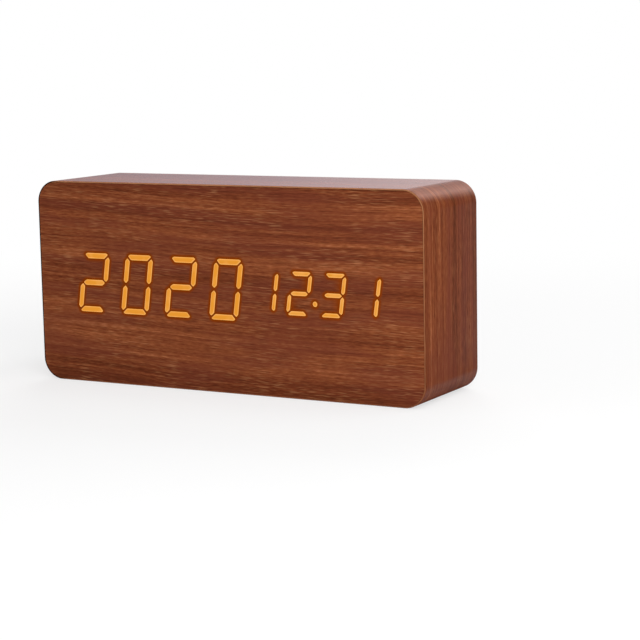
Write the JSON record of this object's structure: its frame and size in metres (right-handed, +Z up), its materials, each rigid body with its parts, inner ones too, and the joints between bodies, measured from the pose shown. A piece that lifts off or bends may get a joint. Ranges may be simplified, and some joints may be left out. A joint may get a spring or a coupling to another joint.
{
  "type": "digital alarm clock",
  "caption": "Rectangular wood-grain digital alarm clock with rounded ends, a glowing calendar display and a rear panel with keys, power socket and battery bay.",
  "frame": {"origin": "middle of the flat base, where the clock stands", "axes": "+Z up, front face and display towards -Y, control panel towards +Y, +X to the right as seen from the front"},
  "size_m": [0.15, 0.04, 0.07],
  "materials": {
    "wood_grain_film": "satin printed walnut film, grain along the front and round the sides",
    "fibreboard": "raw milled fibreboard",
    "amber_light_guide": "translucent guide lit amber from behind",
    "black_abs": "moulded with a fine spark texture",
    "green_circuit_board": "green solder mask",
    "chip_resin": "moulded resin",
    "plated_steel": "bright nickel plate",
    "aluminium_can": "drawn can",
    "battery_jacket": "plain lacquered jacket",
    "thermistor_resin": "dipped resin bead",
    "grey_ribbon": "flat ribbon sleeve",
    "red_sleeve": "wire sleeve",
    "black_sleeve": "wire sleeve"
  },
  "bodies": {
    "case": {"case_body": "fibreboard", "side_wrap": "wood_grain_film", "front_film": "wood_grain_film", "back_film": "wood_grain_film", "year_digit_1": "amber_light_guide", "year_digit_2": "amber_light_guide", "year_digit_3": "amber_light_guide", "year_digit_4": "amber_light_guide", "date_digit_1": "amber_light_guide", "date_digit_2": "amber_light_guide", "date_digit_3": "amber_light_guide", "date_digit_4": "amber_light_guide", "date_dot": "amber_light_guide", "display_reflector": "black_abs", "display_board": "green_circuit_board", "controller_chip": "chip_resin", "display_driver_chip": "chip_resin", "clock_crystal": "plated_steel", "smoothing_capacitor": "aluminium_can", "display_screw_1": "plated_steel", "display_screw_2": "plated_steel", "display_screw_3": "plated_steel", "display_screw_4": "plated_steel", "control_panel": "black_abs", "panel_screw_1": "plated_steel", "panel_screw_2": "plated_steel", "panel_screw_3": "plated_steel", "panel_screw_4": "plated_steel", "battery_cell_1": "battery_jacket", "battery_cell_2": "battery_jacket", "battery_cell_3": "battery_jacket", "battery_contact_positive": "plated_steel", "battery_contact_left_link": "plated_steel", "battery_contact_right_link": "plated_steel", "battery_contact_negative": "plated_steel", "key_board": "green_circuit_board", "key_board_screw_1": "plated_steel", "key_board_screw_2": "plated_steel", "key_board_screw_3": "plated_steel", "key_board_screw_4": "plated_steel", "set_switch": "chip_resin", "up_switch": "chip_resin", "down_switch": "chip_resin", "power_socket": "plated_steel", "alarm_buzzer": "chip_resin", "microphone": "aluminium_can", "temperature_sensor": "thermistor_resin", "ribbon_cable": "grey_ribbon", "battery_lead_red": "red_sleeve", "battery_lead_black": "black_sleeve"},
    "door": {"battery_door": "black_abs"},
    "set_key": {"set_button": "black_abs", "set_switch_plunger": "chip_resin"},
    "up_key": {"up_button": "black_abs", "up_switch_plunger": "chip_resin"},
    "down_key": {"down_button": "black_abs", "down_switch_plunger": "chip_resin"}
  },
  "joints": [
    {"name": "battery_door_tip", "type": "hinge", "parent": "case", "child": "door", "pos_m": [-0.02715, 0.0188, 0.01635], "axis": [-1, 0, 0], "range_deg": [0, 60]},
    {"name": "set_press", "type": "slide", "parent": "case", "child": "set_key", "axis": [0, -1, 0], "range_m": [0, 0.0003], "stiffness_N_per_m": 2000, "springref_m": -0.0005},
    {"name": "up_press", "type": "slide", "parent": "case", "child": "up_key", "axis": [0, -1, 0], "range_m": [0, 0.0003], "stiffness_N_per_m": 2000, "springref_m": -0.0005},
    {"name": "down_press", "type": "slide", "parent": "case", "child": "down_key", "axis": [0, -1, 0], "range_m": [0, 0.0003], "stiffness_N_per_m": 2000, "springref_m": -0.0005}
  ]
}
